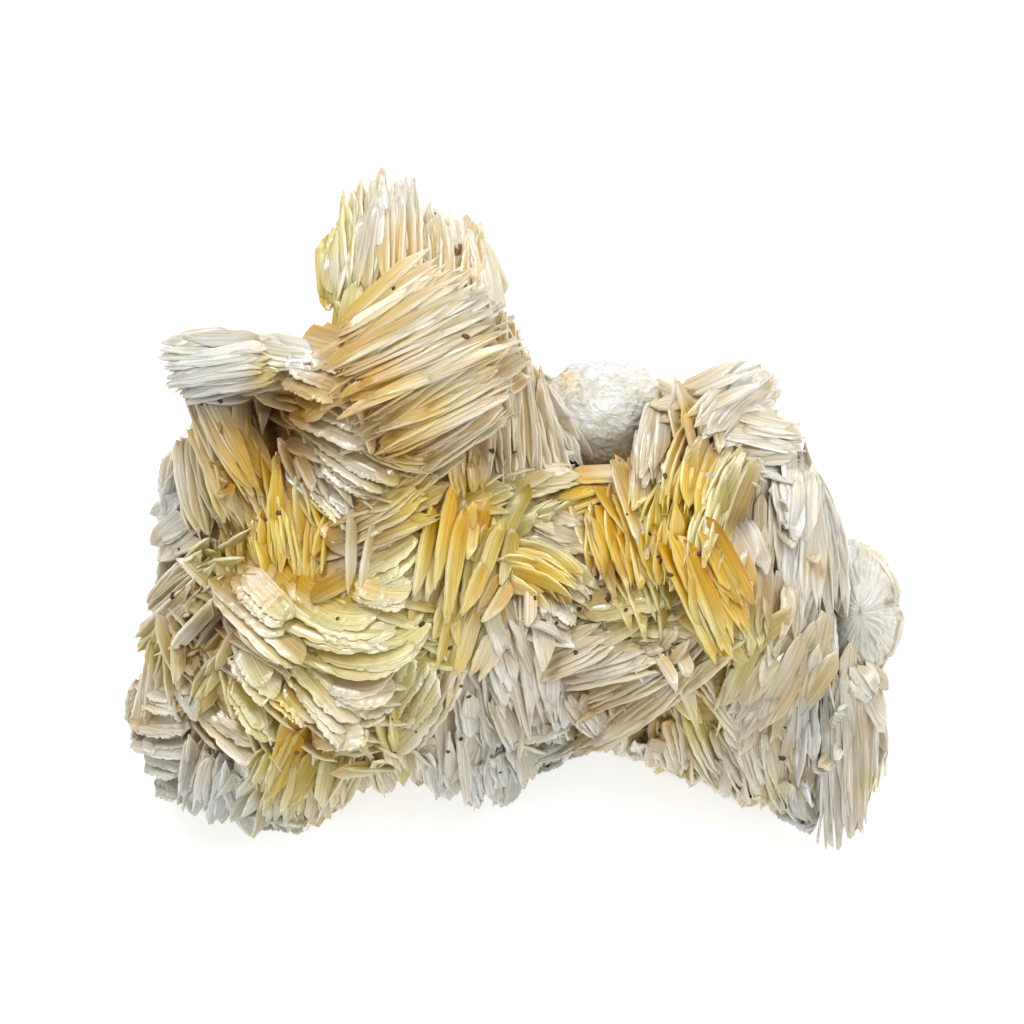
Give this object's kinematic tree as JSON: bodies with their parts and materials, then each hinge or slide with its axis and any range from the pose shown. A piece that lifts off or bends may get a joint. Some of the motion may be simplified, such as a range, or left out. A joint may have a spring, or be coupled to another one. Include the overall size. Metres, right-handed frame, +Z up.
{
  "type": "bladed barite cluster",
  "caption": "Cluster of bladed barite: books of thin cream, white and gold blades radiating from a massive white root, resting on a flat cut base.",
  "frame": {"origin": "centre of the bounding box of the flat cut base", "axes": "+Z up, away from the base the cluster rests on; +X along its longest side; +Y towards the tall tower of blades at its back edge"},
  "size_m": [0.1, 0.086, 0.045],
  "materials": {
    "barite": "translucent silky blades, cream and white with gold zones, satin to glossy rims"
  },
  "bodies": {
    "root": {"bladed_barite": "barite"}
  },
  "joints": []
}
